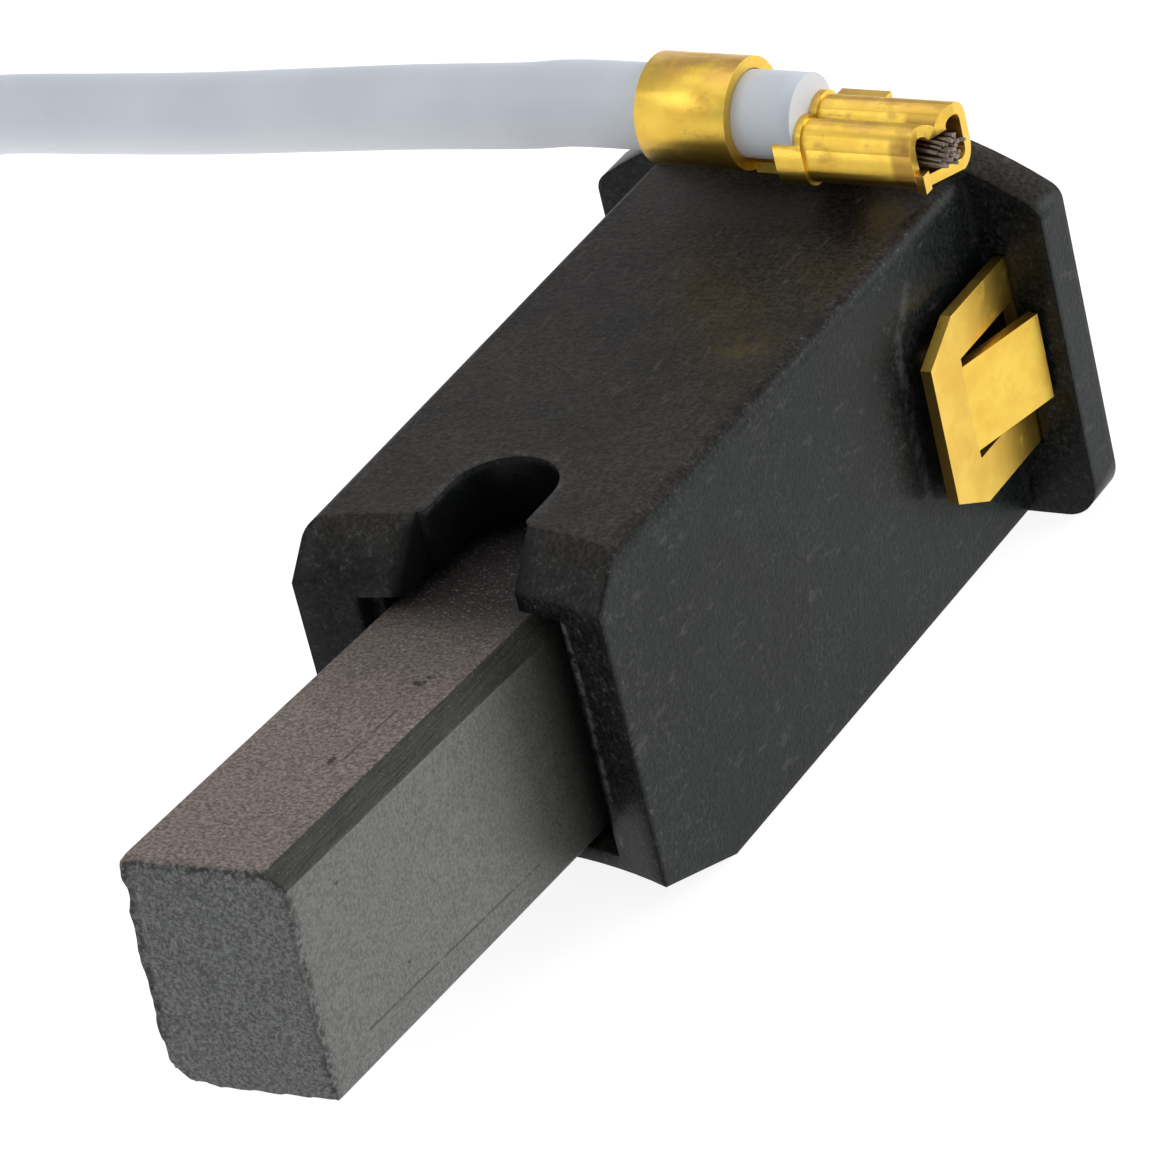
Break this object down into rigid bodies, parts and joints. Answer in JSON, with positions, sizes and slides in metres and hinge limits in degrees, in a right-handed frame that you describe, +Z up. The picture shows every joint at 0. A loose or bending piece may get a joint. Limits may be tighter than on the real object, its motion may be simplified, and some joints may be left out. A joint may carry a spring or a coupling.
{
  "type": "carbon brush",
  "caption": "Carbon brush in a black moulded holder with a rear flange, a gold brass contact strap with side latches and crimps, and a pale insulated lead with a push-on end terminal",
  "frame": {"origin": "on the surface the brush rests on, under the middle of its length and of the flange's width, leaving the lead out", "axes": "+Y runs from the carbon's contact face to the rear flange along the tunnel, +X is the side at which the conductor crimp's open end points, +Z is up towards the crimp"},
  "size_m": [0.0969, 0.0506, 0.0204],
  "materials": {
    "moulding": "black thermoset moulding with dusty grey scuffs",
    "carbon": "fine-grained electrographite, pressed and worn",
    "spring_wire": "bright spring steel wire",
    "copper_braid": "fine bare copper braid",
    "brass_sheet": "gold-coloured brass sheet, slightly tarnished",
    "tinned_strand": "dull tinned copper strand",
    "insulation": "pale grey-lavender silicone rubber"
  },
  "bodies": {
    "root": {"holder": "moulding", "contact_strap": "brass_sheet", "conductor_strands": "tinned_strand", "brush_spring": "spring_wire", "shunt_braid": "copper_braid", "lead_wire": "insulation", "lead_coil": "insulation", "lead_tail": "insulation", "end_terminal": "brass_sheet"},
    "carbon": {"carbon_block": "carbon"}
  },
  "joints": [
    {"name": "carbon_slide", "type": "slide", "parent": "root", "child": "carbon", "axis": [0, 1, 0], "range_m": [0, 0.007], "stiffness_N_per_m": 300, "springref_m": -0.004, "deforming": ["brush_spring", "shunt_braid"]}
  ]
}
